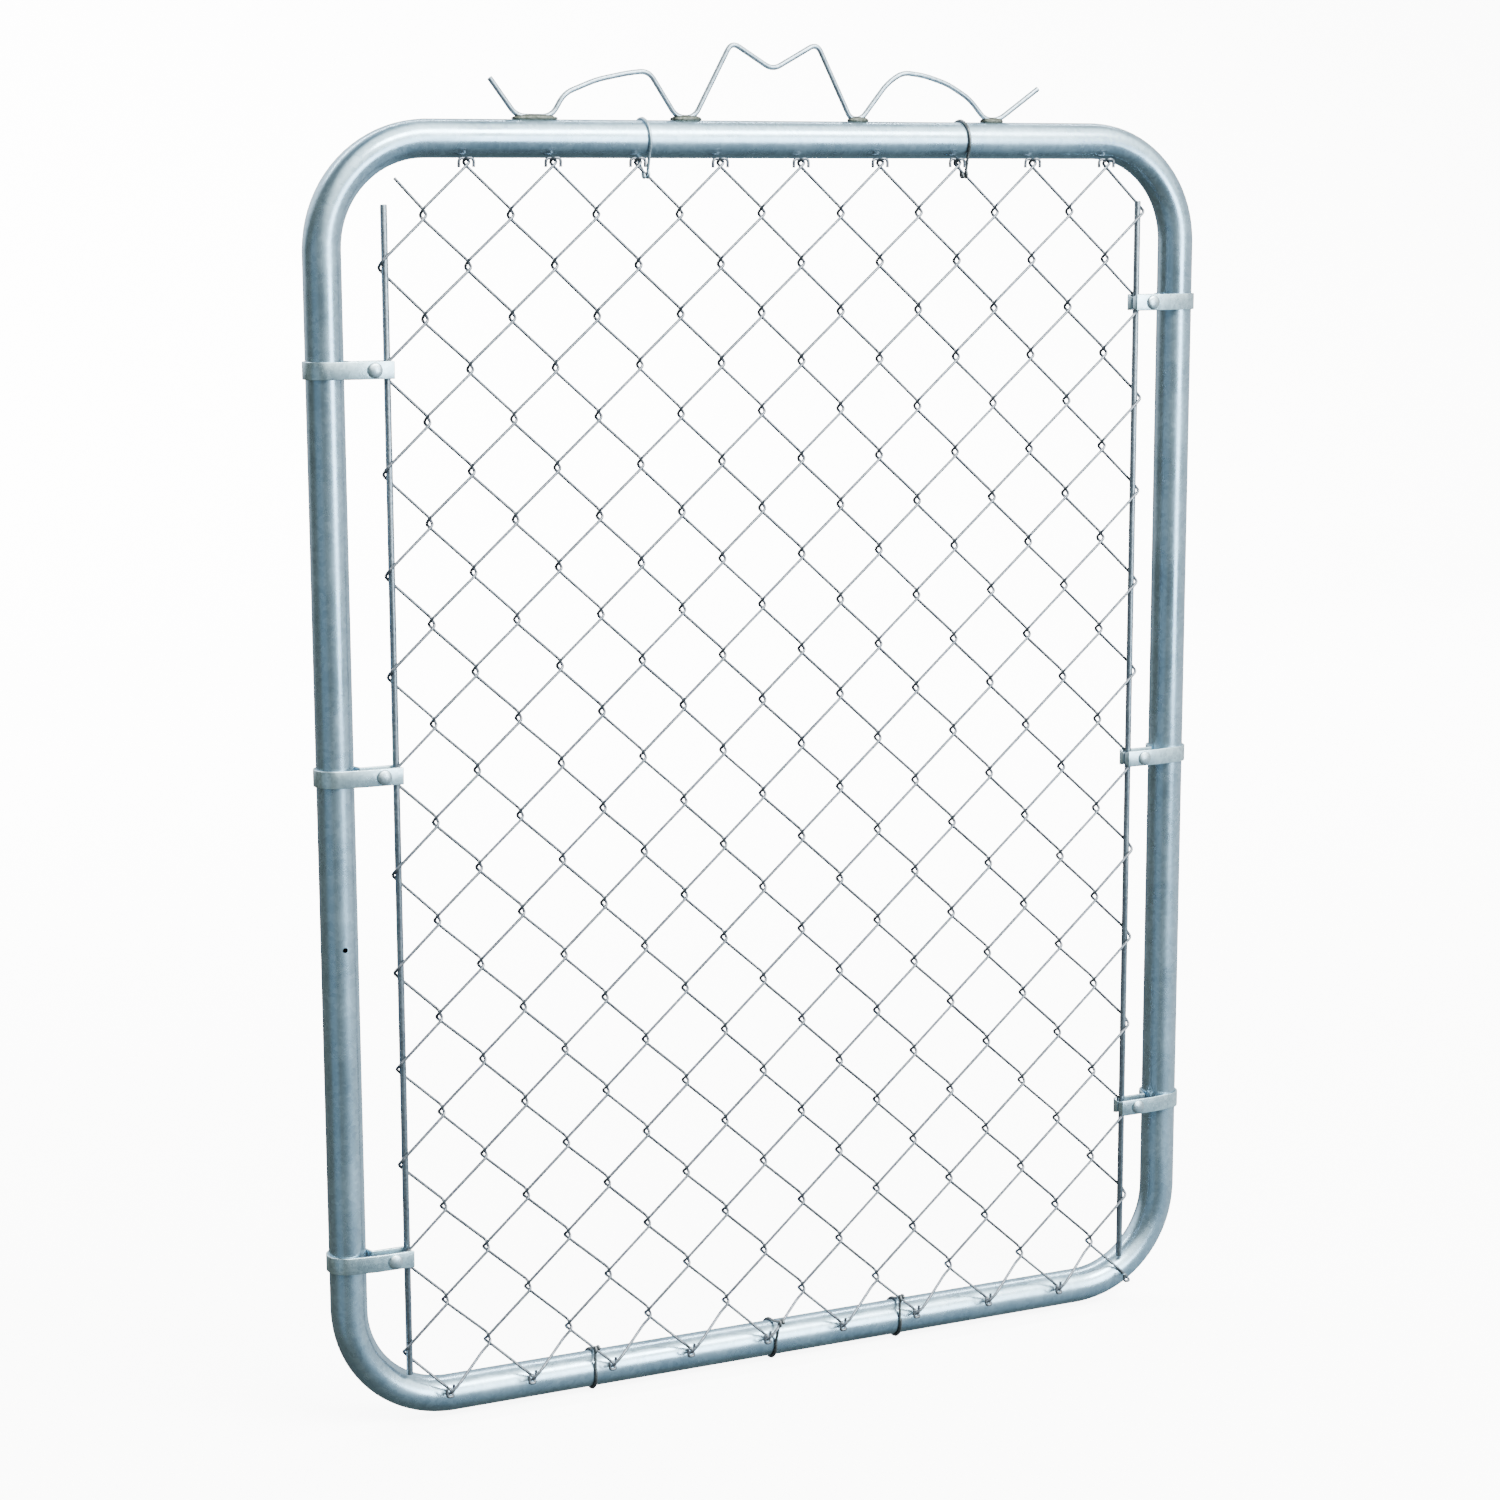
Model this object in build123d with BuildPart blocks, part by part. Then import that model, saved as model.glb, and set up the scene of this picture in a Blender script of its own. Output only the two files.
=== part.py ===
from build123d import *
import math
import os

# Driving sizes in millimetres

# leaf frame, measured over the outside of its tube
frame_width = 930.0
frame_height = 1219.2
tube_od = 34.925
tube_wall = 1.65
bend_radius = 98.0
vent_hole_d = 5.0
vent_hole_height = 450.0

# where the origin sits: this far above the middle of the bottom rail
hinge_height = 230.0

# woven fabric, its wire measured across the corners of a four-sided section
wire_across = 3.2
wire_count = 19
leg_count = 25
fabric_y = -14.3
fabric_half_depth = 4.85
fabric_bottom_y = -24.05
fabric_bottom = 8.2
fabric_top_drop = 19.475
hook_overlap = 1.7
link_half_rise = 1.2
knuckle_half_rise = 1.75
knuckle_reach = 3.6
knuckle_tail = 8.0
corner_leg_share = 0.6
lowest_leg_leaves = 0.2
lowest_leg_arrives = 0.8

# tension rods at the two sides of the fabric
rod_d = 6.35
rod_offset = 54.0
rod_from = 30.0
rod_top_drop = 58.275
rod_play = 0.1

# bands that tie each rod to its upright
band_height = 16.0
band_thickness = 2.6
band_play = 0.05
ear_start = 22.0
lip_height = 11.0
lip_gap = 2.4
left_band_nodes = (3, 13, 21)
right_band_nodes = (4, 12, 22)

# holes for the carriage bolts that close the bands
bolt_offset = 39.5
square_hole = 6.7
round_hole_d = 6.5

# tie wires round the two rails, each beside a knuckle of the fabric
tie_d = 2.4
tie_play = 0.05
tie_leg_room = 4.0
tie_sides = 12
top_tie_offset = 10.0
bottom_tie_columns = (("left", 5, -14.0), ("middle", 9, 13.0), ("right", 13, -14.0))
lowest_leg_slant = 0.15

# scroll of bent wire on the top rail: places out from its middle, and heights above the rail
scroll_wire_d = 5.0
scroll_corner = 7.0
scroll_dip = 44.5
scroll_peak = (44.5, 69.6)
inner_foot = (82.0, 99.0)
arch_peak = (132.0, 42.5)
arch_shoulders = ((152.0, 41.0), (182.0, 33.5), (211.0, 21.0))
outer_foot = (225.0, 251.0)
scroll_tail = (287.0, 33.0)

# Places worked out from the sizes
tube_r = tube_od / 2
tube_bore_r = tube_r - tube_wall
right_x = frame_width - tube_od
middle_x = right_x / 2
bottom_z = -hinge_height
top_z = bottom_z + frame_height - tube_od
straight_bottom = bottom_z + bend_radius
straight_top = top_z - bend_radius
rod_r = rod_d / 2
wire_r = wire_across / 2
left_rod_x = rod_offset
right_rod_x = right_x - rod_offset
edge_gap = rod_r + wire_r + rod_play
first_column = left_rod_x - edge_gap
last_column = right_rod_x + edge_gap
column_step = (last_column - first_column) / wire_count
fabric_height = frame_height - tube_od - fabric_top_drop - fabric_bottom
leg_rise = fabric_height / leg_count
rod_length = frame_height - tube_od - rod_top_drop - rod_from

os.makedirs("parts", exist_ok=True)


# Leaf frame: four straight runs of tube and four bends

with BuildPart() as left_stile:
    with BuildSketch(Plane.XY.offset(straight_bottom)):
        Circle(tube_r)
        Circle(tube_bore_r, mode=Mode.SUBTRACT)
    extrude(amount=straight_top - straight_bottom)
    with BuildSketch(Plane.XZ.offset(0)):
        with Locations((0, bottom_z + vent_hole_height)):
            Circle(vent_hole_d / 2)
    extrude(amount=tube_od, mode=Mode.SUBTRACT)
left_stile.part.label = "left_stile"
export_step(left_stile.part, "parts/left_stile.step")

with BuildPart() as right_stile:
    with BuildSketch(Plane.XY.offset(straight_bottom)):
        with Locations((right_x, 0)):
            Circle(tube_r)
            Circle(tube_bore_r, mode=Mode.SUBTRACT)
    extrude(amount=straight_top - straight_bottom)
right_stile.part.label = "right_stile"
export_step(right_stile.part, "parts/right_stile.step")

with BuildPart() as top_rail:
    with BuildSketch(Plane.YZ.offset(bend_radius)):
        with Locations((0, top_z)):
            Circle(tube_r)
            Circle(tube_bore_r, mode=Mode.SUBTRACT)
    extrude(amount=right_x - 2 * bend_radius)
top_rail.part.label = "top_rail"
export_step(top_rail.part, "parts/top_rail.step")

with BuildPart() as bottom_rail:
    with BuildSketch(Plane.YZ.offset(bend_radius)):
        with Locations((0, bottom_z)):
            Circle(tube_r)
            Circle(tube_bore_r, mode=Mode.SUBTRACT)
    extrude(amount=right_x - 2 * bend_radius)
bottom_rail.part.label = "bottom_rail"
export_step(bottom_rail.part, "parts/bottom_rail.step")

# each bend starts on the end of its upright and turns into its rail; its bore has few sides
bends = (
    (0.0, straight_top, bend_radius, -90.0),
    (right_x, straight_top, right_x - bend_radius, 90.0),
    (0.0, straight_bottom, bend_radius, 90.0),
    (right_x, straight_bottom, right_x - bend_radius, -90.0),
)
with BuildPart() as corner_bends:
    for start_x, start_z, centre_x, turn in bends:
        with BuildSketch(Plane.XY.offset(start_z)):
            with Locations((start_x, 0)):
                Circle(tube_r)
                RegularPolygon(tube_bore_r, 8, mode=Mode.SUBTRACT)
        revolve(axis=Axis((centre_x, 0, start_z), (0, -1, 0)), revolution_arc=turn)
corner_bends.part.label = "corner_bends"
export_step(corner_bends.part, "parts/corner_bends.step")


# Woven fabric: zig-zag wires hooked into one another

def row_height(row):
    return bottom_z + fabric_bottom + leg_rise * row


def row_depth(row):
    return fabric_bottom_y if row == 0 else fabric_y


def bend_x(wire, at_right):
    if at_right:
        if wire == wire_count - 1:
            return last_column
        return first_column + column_step * (wire + 1) + hook_overlap
    if wire == 0:
        return first_column
    return first_column + column_step * wire - hook_overlap


def wire_points(wire):
    """Corner points of one wire from its bottom knuckle to its top knuckle."""
    h = fabric_half_depth
    at_right = wire % 2 == 0
    side = 1.0 if at_right else -1.0
    x = bend_x(wire, at_right)
    z = row_height(0)
    y = row_depth(0)
    reach = x - side * (2 * hook_overlap + knuckle_reach)
    points = [
        (reach, y - side * h, z - knuckle_half_rise + knuckle_tail),
        (reach, y - side * h, z - knuckle_half_rise),
        (x, y - side * h, z - knuckle_half_rise),
        (x, y + side * h, z + knuckle_half_rise),
    ]
    # the lowest leg lies in front of the rail, then goes back to the plane of the rods
    next_x = bend_x(wire, not at_right)
    for share, depth in ((lowest_leg_leaves, fabric_bottom_y), (lowest_leg_arrives, fabric_y)):
        knee_x = x + share * (next_x - x)
        knee_z = z + knuckle_half_rise + share * (leg_rise - knuckle_half_rise - link_half_rise)
        points.append((knee_x, depth + side * h, knee_z))
    for row in range(1, leg_count + 1):
        at_right = not at_right
        x_before = x
        z_before = z
        x = bend_x(wire, at_right)
        z = row_height(row)
        y = row_depth(row)
        layer = -h if at_right else h
        if row == leg_count and wire == 0:
            # the corner bend of the tube takes the place of the last part of this leg
            share = corner_leg_share
            end_x = x_before + share * (x - x_before)
            end_z = z_before + link_half_rise + share * (z - z_before)
            points.append((end_x, y + layer, end_z))
            return points
        half_rise = knuckle_half_rise if row == leg_count else link_half_rise
        points.append((x, y + layer, z - half_rise))
        points.append((x, y - layer, z + half_rise))
    side = 1.0 if at_right else -1.0
    reach = x - side * (2 * hook_overlap + knuckle_reach)
    points.append((reach, y - layer, z + knuckle_half_rise))
    points.append((reach, y - layer, z + knuckle_half_rise - knuckle_tail))
    return points


fabric_wires = []
for wire in range(wire_count):
    with BuildPart() as fabric_wire:
        with BuildLine() as wire_line:
            Polyline(*wire_points(wire))
        with BuildSketch(wire_line.line ^ 0):
            RegularPolygon(radius=wire_r, side_count=4)
        sweep(transition=Transition.RIGHT)
    fabric_wires.append(fabric_wire.part.solid())

with BuildPart() as chain_link_fabric:
    add(fabric_wires)
chain_link_fabric.part.label = "chain_link_fabric"
export_step(chain_link_fabric.part, "parts/chain_link_fabric.step")


# Tension rods threaded through the end loops of the fabric

with BuildPart() as left_tension_rod:
    with BuildSketch(Plane.XY.offset(bottom_z + rod_from)):
        with Locations((left_rod_x, fabric_y)):
            Circle(rod_r)
    extrude(amount=rod_length)
left_tension_rod.part.label = "left_tension_rod"
export_step(left_tension_rod.part, "parts/left_tension_rod.step")

with BuildPart() as right_tension_rod:
    with BuildSketch(Plane.XY.offset(bottom_z + rod_from)):
        with Locations((right_rod_x, fabric_y)):
            Circle(rod_r)
    extrude(amount=rod_length)
right_tension_rod.part.label = "right_tension_rod"
export_step(right_tension_rod.part, "parts/right_tension_rod.step")


# Bands that hold each rod to its upright

front_inside = fabric_y - fabric_half_depth - wire_r - band_play
back_inside = fabric_y + fabric_half_depth + wire_r + band_play
front_outside = front_inside - band_thickness
back_outside = back_inside + band_thickness
wrap_inside = tube_r + band_play
wrap_outside = wrap_inside + band_thickness
lip_inside = rod_offset + rod_r + band_play


def touch_point(px, py, radius, turn):
    """Point where a line from (px, py) just touches a circle round the upright."""
    angle = math.atan2(py, px) + turn * math.acos(radius / math.hypot(px, py))
    return (radius * math.cos(angle), radius * math.sin(angle))


def mirrored(points, flip, shift):
    return [(shift + flip * px, py) for px, py in points]


outer_outline = [
    touch_point(ear_start, front_outside, wrap_outside, -1),
    (ear_start, front_outside),
    (lip_inside + band_thickness, front_outside),
    (lip_inside + band_thickness, back_outside),
    (ear_start, back_outside),
    touch_point(ear_start, back_outside, wrap_outside, 1),
]
inner_outline = [
    touch_point(ear_start, front_inside, wrap_inside, -1),
    (ear_start, front_inside),
    (lip_inside, front_inside),
    (lip_inside, back_inside),
    (ear_start, back_inside),
    touch_point(ear_start, back_inside, wrap_inside, 1),
]

band_places = (
    ("left_upper", 0.0, 1.0, left_band_nodes[2]),
    ("left_middle", 0.0, 1.0, left_band_nodes[1]),
    ("left_lower", 0.0, 1.0, left_band_nodes[0]),
    ("right_upper", right_x, -1.0, right_band_nodes[2]),
    ("right_middle", right_x, -1.0, right_band_nodes[1]),
    ("right_lower", right_x, -1.0, right_band_nodes[0]),
)
for place, stile_x, inward, row in band_places:
    band_z = row_height(row)
    bolt_x = stile_x + inward * bolt_offset
    lip_x = stile_x + inward * (lip_inside + band_thickness / 2)

    with BuildPart() as band:
        with BuildSketch(Plane.XY.offset(band_z - band_height / 2)):
            with Locations((stile_x, 0)):
                Circle(wrap_outside)
            with BuildLine():
                Polyline(*mirrored(outer_outline, inward, stile_x), close=True)
            make_face()
            with Locations((stile_x, 0)):
                Circle(wrap_inside, mode=Mode.SUBTRACT)
            with BuildLine():
                Polyline(*mirrored(inner_outline, inward, stile_x), close=True)
            make_face(mode=Mode.SUBTRACT)
        extrude(amount=band_height)
        # the lips are narrower than the strip and leave a gap between them
        with BuildSketch(Plane.XZ.offset(-back_outside)):
            with Locations((lip_x, band_z + (band_height + lip_height) / 4)):
                Rectangle(band_thickness, (band_height - lip_height) / 2)
            with Locations((lip_x, band_z - (band_height + lip_height) / 4)):
                Rectangle(band_thickness, (band_height - lip_height) / 2)
        extrude(amount=back_outside - front_outside, mode=Mode.SUBTRACT)
        with BuildSketch(Plane.XY.offset(band_z - band_height / 2)):
            with Locations((lip_x, fabric_y)):
                Rectangle(band_thickness, lip_gap)
        extrude(amount=band_height, mode=Mode.SUBTRACT)
        # square hole in the front ear, round hole in the back ear
        with BuildSketch(Plane.XZ.offset(-front_inside)):
            with Locations((bolt_x, band_z)):
                Rectangle(square_hole, square_hole)
        extrude(amount=band_thickness, mode=Mode.SUBTRACT)
        with BuildSketch(Plane.XZ.offset(-back_outside)):
            with Locations((bolt_x, band_z)):
                Circle(round_hole_d / 2)
        extrude(amount=band_thickness, mode=Mode.SUBTRACT)
    band.part.label = f"band_{place}"
    export_step(band.part, f"parts/band_{place}.step")


# Tie wires, each a closed loop round a rail and one leg of the fabric

tie_r = tie_d / 2
leg_slope = (leg_rise - 2 * link_half_rise) / (column_step + 2 * hook_overlap)
rail_loop = tube_r + tie_r + tie_play
leg_loop = tie_leg_room + tie_r

# the legs of the fabric beside its top and bottom knuckles
top_leg_z = row_height(leg_count) - link_half_rise
low_leg_z = row_height(0) + link_half_rise


def column_near(x):
    """Column of the top knuckle that is nearest to a place along the rail."""
    return 2 * round((x - first_column) / (2 * column_step))


# a tie on the top rail stands under the middle of each arch of the scroll
arch_middle = (inner_foot[1] + outer_foot[0]) / 2
tie_places = []
for side, arch_x in (("left", middle_x - arch_middle), ("right", middle_x + arch_middle)):
    tie_x = first_column + column_step * column_near(arch_x - top_tie_offset) + top_tie_offset
    leg_z = top_leg_z - (top_tie_offset + hook_overlap) * leg_slope
    tie_places.append((f"tie_top_{side}", tie_x, top_z, fabric_y + fabric_half_depth, leg_z))
for side, column, along in bottom_tie_columns:
    tie_x = first_column + column_step * column + along
    run = abs(along) + hook_overlap
    leg_y = fabric_bottom_y - math.copysign(fabric_half_depth, along) + lowest_leg_slant * run
    leg_z = low_leg_z + run * leg_slope
    tie_places.append((f"tie_bottom_{side}", tie_x, bottom_z, leg_y, leg_z))

for tie_name, tie_x, rail_z, leg_y, leg_z in tie_places:
    with BuildPart() as tie:
        with BuildSketch(Plane.YZ.offset(tie_x - tie_r)):
            with Locations((0, rail_z)):
                RegularPolygon(rail_loop + tie_r, tie_sides, major_radius=False)
            with Locations((leg_y, leg_z)):
                RegularPolygon(leg_loop + tie_r, tie_sides, major_radius=False)
            make_hull()
            offset(amount=-tie_d, kind=Kind.INTERSECTION, mode=Mode.SUBTRACT)
        extrude(amount=tie_d)
    tie.part.label = tie_name
    export_step(tie.part, f"parts/{tie_name}.step")


# Scroll on the top rail, one bent wire standing on its feet

foot_z = top_z + tube_r + scroll_wire_d / 2
half_scroll = [
    scroll_tail,
    (outer_foot[1], 0.0),
    (outer_foot[0], 0.0),
    *reversed(arch_shoulders),
    arch_peak,
    (inner_foot[1], 0.0),
    (inner_foot[0], 0.0),
    scroll_peak,
]
scroll_points = [(middle_x - px, foot_z + pz) for px, pz in half_scroll]
scroll_points.append((middle_x, foot_z + scroll_dip))
scroll_points += [(middle_x + px, foot_z + pz) for px, pz in reversed(half_scroll)]
with BuildPart() as scroll:
    with BuildLine(Plane.XZ) as scroll_line:
        FilletPolyline(*scroll_points, radius=scroll_corner)
    with BuildSketch(scroll_line.line ^ 0):
        RegularPolygon(scroll_wire_d / 2, 6)
    sweep()
scroll.part.label = "top_scroll"
export_step(scroll.part, "parts/top_scroll.step")
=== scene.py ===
import math
import random

import bmesh
import bpy
from mathutils import Matrix, Vector


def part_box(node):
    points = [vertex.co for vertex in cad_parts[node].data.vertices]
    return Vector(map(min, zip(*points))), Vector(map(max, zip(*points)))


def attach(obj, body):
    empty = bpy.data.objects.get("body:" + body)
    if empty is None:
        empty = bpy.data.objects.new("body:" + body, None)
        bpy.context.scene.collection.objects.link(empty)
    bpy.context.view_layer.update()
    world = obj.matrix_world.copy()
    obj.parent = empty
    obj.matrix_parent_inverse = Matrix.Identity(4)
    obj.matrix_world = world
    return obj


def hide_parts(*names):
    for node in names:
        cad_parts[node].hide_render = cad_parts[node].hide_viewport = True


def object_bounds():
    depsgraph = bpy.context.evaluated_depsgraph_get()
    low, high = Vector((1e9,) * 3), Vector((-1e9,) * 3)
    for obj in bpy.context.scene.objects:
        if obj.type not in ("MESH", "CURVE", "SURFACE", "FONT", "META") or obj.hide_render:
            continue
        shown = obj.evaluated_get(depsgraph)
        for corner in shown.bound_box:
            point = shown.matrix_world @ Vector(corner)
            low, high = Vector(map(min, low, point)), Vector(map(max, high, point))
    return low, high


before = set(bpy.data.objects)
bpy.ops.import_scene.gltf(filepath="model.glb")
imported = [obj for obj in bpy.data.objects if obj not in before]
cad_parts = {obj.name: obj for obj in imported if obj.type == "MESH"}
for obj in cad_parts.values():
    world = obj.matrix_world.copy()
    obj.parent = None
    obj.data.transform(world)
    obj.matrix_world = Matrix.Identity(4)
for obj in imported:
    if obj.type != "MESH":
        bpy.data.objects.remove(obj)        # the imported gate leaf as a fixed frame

# Chain link walk gate leaf, in metres: bent tube frame, woven fabric, rods, bands, ties and scroll.

cad_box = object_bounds()
MM = 0.001

# Places read from the solids

left_low, left_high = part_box("left_stile")
right_low, right_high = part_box("right_stile")
rail_low, rail_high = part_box("top_rail")
sill_low, sill_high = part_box("bottom_rail")
TUBE_R = (left_high.x - left_low.x) / 2
LEFT_X = (left_low.x + left_high.x) / 2
RIGHT_X = (right_low.x + right_high.x) / 2
TOP_Z = (rail_low.z + rail_high.z) / 2
BOTTOM_Z = (sill_low.z + sill_high.z) / 2
BEND_R = rail_low.x - LEFT_X
MIDDLE_X = (LEFT_X + RIGHT_X) / 2

# Sizes of the bent tube

TUBE_WALL = 1.65 * MM
TUBE_SIDES = 56
RUN_RINGS = 8
BEND_RINGS = 20
BEND_FLATTENING = 1.1 * MM
BEND_WIDENING = 0.006
BEND_FADE = 0.6
VENT_D = 5.0 * MM
VENT_Z = BOTTOM_Z + 450 * MM
ROUND_SIDES = 24

# Sizes of the fabric's wires

WIRE_R = 1.45 * MM
WIRE_EASE = 3.6 * MM
WIRE_COUNT = 19
LEG_COUNT = 25
FABRIC_Y = -14.3 * MM
FABRIC_HALF_DEPTH = 4.85 * MM
FABRIC_SILL_Y = -24.05 * MM
FABRIC_BOTTOM = 8.2 * MM
FABRIC_TOP_DROP = 19.475 * MM
HOOK_OVERLAP = 1.7 * MM
LINK_RISE = 3.0 * MM
KNUCKLE_RISE = 1.75 * MM
KNUCKLE_REACH = 3.6 * MM
KNUCKLE_TAIL = 8.0 * MM
SHORT_LEG_SHARE = 0.6
LOW_KNEES = ((0.2, FABRIC_SILL_Y), (0.8, FABRIC_Y))
WAVER_SCALE = 0.07
WAVER = (("X", 1.5 * MM), ("Z", 1.5 * MM), ("Y", 0.7 * MM))

# The rods, with the fabric's columns between them and its rows between the rails

ROD_OFFSET = 54.0 * MM
ROD_END_EASE = 1.0 * MM
EDGE_GAP = 4.875 * MM
FIRST_COLUMN = LEFT_X + ROD_OFFSET - EDGE_GAP
LAST_COLUMN = RIGHT_X - ROD_OFFSET + EDGE_GAP
COLUMN_STEP = (LAST_COLUMN - FIRST_COLUMN) / WIRE_COUNT
ROW_STEP = (TOP_Z - BOTTOM_Z - FABRIC_TOP_DROP - FABRIC_BOTTOM) / LEG_COUNT

# Sizes of the bands, from the axis of their upright

BAND_T = 2.58 * MM
BAND_PLAY = 0.05 * MM
BAND_HEIGHT = 16.0 * MM
BAND_EDGE = 0.55 * MM
WRAP_STEPS = 36
LIP_HEIGHT = 11.0 * MM
LIP_GAP = 2.4 * MM
EAR_START = 22.0 * MM
EAR_END = 57.225 * MM
FRONT_EAR_Y = -22.1 * MM
BACK_EAR_Y = -6.5 * MM

# Sizes of the carriage bolts and their nuts

BOLT_OFFSET = 39.5 * MM
BOLT_R = 3.1 * MM
BOLT_END = 2.4 * MM
BOLT_TURN = 0.5
HEAD_R = 7.15 * MM
HEAD_RISE = 3.2 * MM
HEAD_EDGE = 0.8 * MM
HEAD_RINGS = 6
HEAD_TIP = 0.06
THREAD_DEPTH = 0.35 * MM
THREAD_RISE = 0.35 * MM
THREAD_COUNT = 5
SHANK_START = 0.5 * MM
SHANK_EDGE = 0.5 * MM
NUT_R = 6.41 * MM
NUT_HEIGHT = 5.5 * MM
NUT_BORE_PLAY = 0.15 * MM
NUT_MERGE = 0.03 * MM
CONE_WIDE = NUT_R + 3.1 * MM
CONE_NARROW = NUT_R - 1.5 * MM
CONE_LONGER = 1.6 * MM
CONE_BACK = 0.4 * MM

# Sizes of the ties. Each holds a leg of the fabric, found by a column and how far the tie is from it

TIE_R = 1.5 * MM
TIE_EASE = 2 * MM
TIE_LEAN = 1.15 * TIE_R
TIE_RAIL_PLAY = 0.1 * MM
TIE_LEG_PLAY = 0.25 * MM
LEG_END_RISE = 1.2 * MM
LOW_LEG_LEAN = 0.15
TOP_TIE_REACH = 10 * MM
TOP_TIES = (("left", 6), ("right", 14))
BOTTOM_TIES = (("left", 5, -14 * MM), ("middle", 9, 13 * MM), ("right", 13, -14 * MM))

# Sizes of the scroll and its welds, with its corners in mm from the middle of the leaf and above its feet

SCROLL_R = 2.5 * MM
SCROLL_EASE = 9 * MM
SCROLL_LEFT = (
    (-285.5, 34), (-260, 0), (-226, 0), (-213, 21), (-181, 33.5), (-149, 40), (-129, 42), (-101, 0),
    (-83, 0), (-44.5, 69.6),
)
SCROLL_DIP = (-2, 44.5)
SCROLL_RIGHT = (
    (44.5, 69.6), (80, 0), (92, 0), (119, 33), (136, 44), (160, 41), (185, 33.5), (209, 20), (227, 0),
    (242, 0), (285.5, 30),
)
FEET = ((-260, -226), (-101, -83), (80, 92), (227, 242))
BEAD_R = 3.4 * MM
BEAD_Y = 2.6 * MM
BEAD_RISE = 1.0 * MM
BEAD_SLIDE = 1.5
BEAD_LONGER = (3, 6)
RIPPLE_SCALE = 0.004
RIPPLE = 1.2 * MM

# The studio: its room, lights and air, and where the photograph was taken from

ROOM_SIZE = (15, 14, 10)
ROOM_CURVE = 2.0
ROOM_CURVE_STEPS = 16
PAPER_GLOW = 7.0
LEAF_MIDDLE = (MIDDLE_X, 0, 0.4)
LIGHTS = (
    ("key_from_right", (2.0, -3.6, 0.85), LEAF_MIDDLE, 1.3, 1.9, 115, (0.80, 0.92, 1.0)),
    ("front_top_box", (1.3, -2.7, 3.3), LEAF_MIDDLE, 2.6, 1.0, 330, (1.0, 0.985, 0.95)),
    ("wall_wash", (MIDDLE_X, 3.2, 5.0), (MIDDLE_X, 7.0, 1.5), 9.0, 2.0, 2500, (1.0, 1.0, 1.0)),
)
AIR_DIRECTION = (0.90, -0.10, 0.42)
AIR_REACH = (-0.75, 0.95)
AIR_TONES = (
    (0.0, (0.19, 0.20, 0.17)),
    (0.12, (0.16, 0.19, 0.19)),
    (0.30, (0.17, 0.22, 0.24)),
    (0.48, (0.28, 0.38, 0.44)),
    (0.62, (0.42, 0.56, 0.65)),
    (0.80, (0.72, 0.88, 0.97)),
    (1.0, (1.1, 1.1, 1.1)),
)
AIR_PATCHES = (
    ((-0.88, -0.44, -0.17), 0.86, 0.995, (0.30, 0.42, 0.50)),
    ((0.25, -0.65, 0.72), 0.60, 0.94, (6.0, 5.9, 5.4)),
    ((-0.35, 0.78, 0.52), 0.72, 0.98, (2.4, 2.5, 2.6)),
    ((0.0, 0.25, -0.97), 0.60, 0.95, (0.15, 0.18, 0.17)),
)
CAMERA_YAW = math.radians(25.19734302)
CAMERA_PITCH = math.radians(9.99044398)
CAMERA_ROLL = math.radians(0.17087597)
CAMERA_PLACE = (-0.871902, -2.745631, 0.906468)
LENS = 76.118
SENSOR_WIDTH = 36


# Small helpers for the bench

def drop_selection():
    """Leave edit mode and let go of every object."""
    if bpy.context.object and bpy.context.object.mode != "OBJECT":
        bpy.ops.object.mode_set(mode="OBJECT")
    bpy.ops.object.select_all(action="DESELECT")


def pick_up(obj):
    """Select one object alone and make it the active one."""
    drop_selection()
    obj.select_set(True)
    bpy.context.view_layer.objects.active = obj


def pick(obj, kind, wanted):
    """In edit mode, select only the verts, edges or faces that are wanted."""
    bpy.ops.mesh.select_mode(type={"verts": "VERT", "edges": "EDGE", "faces": "FACE"}[kind])
    bpy.ops.mesh.select_all(action="DESELECT")
    mesh = bmesh.from_edit_mesh(obj.data)
    for part in getattr(mesh, kind):
        part.select_set(wanted(part))
    mesh.select_flush_mode()
    bmesh.update_edit_mesh(obj.data)


def middle(part):
    """Middle of an edge or face."""
    return sum((v.co for v in part.verts), Vector()) / len(part.verts)


def near(a, b, room=1e-5):
    """Whether two lengths are the same, but for the room given."""
    return abs(a - b) < room


def settle(obj, name, smooth=35.0):
    """Put an object's place into its mesh, shade it, and name it."""
    pick_up(obj)
    bpy.ops.object.transform_apply(location=True, rotation=True, scale=True)
    bpy.ops.object.shade_smooth_by_angle(angle=math.radians(smooth))
    obj.name = name
    obj.data.name = name
    return obj


def apply_modifier(obj, kind, **settings):
    """Add one modifier with its settings and apply it."""
    pick_up(obj)
    modifier = obj.modifiers.new(kind.lower(), kind)
    for key, value in settings.items():
        setattr(modifier, key, value)
    bpy.ops.object.modifier_apply(modifier=modifier.name)


def cut_with(obj, tool, operation):
    """Cut one object with another, which is then thrown away."""
    apply_modifier(obj, "BOOLEAN", object=tool, operation=operation, solver="EXACT")
    bpy.data.objects.remove(tool)


def join(objs):
    """Join the objects into the first one."""
    drop_selection()
    for obj in objs:
        obj.select_set(True)
    bpy.context.view_layer.objects.active = objs[0]
    bpy.ops.object.join()
    return objs[0]


def copy_of(obj, name, matrix):
    """A copy with a mesh of its own, moved by the matrix."""
    twin = obj.copy()
    twin.data = obj.data.copy()
    twin.data.transform(matrix)
    twin.name = name
    twin.data.name = name
    bpy.context.collection.objects.link(twin)
    if matrix.determinant() < 0:
        pick_up(twin)
        bpy.ops.object.mode_set(mode="EDIT")
        bpy.ops.mesh.select_all(action="SELECT")
        bpy.ops.mesh.flip_normals()
        bpy.ops.object.mode_set(mode="OBJECT")
    return twin


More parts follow.
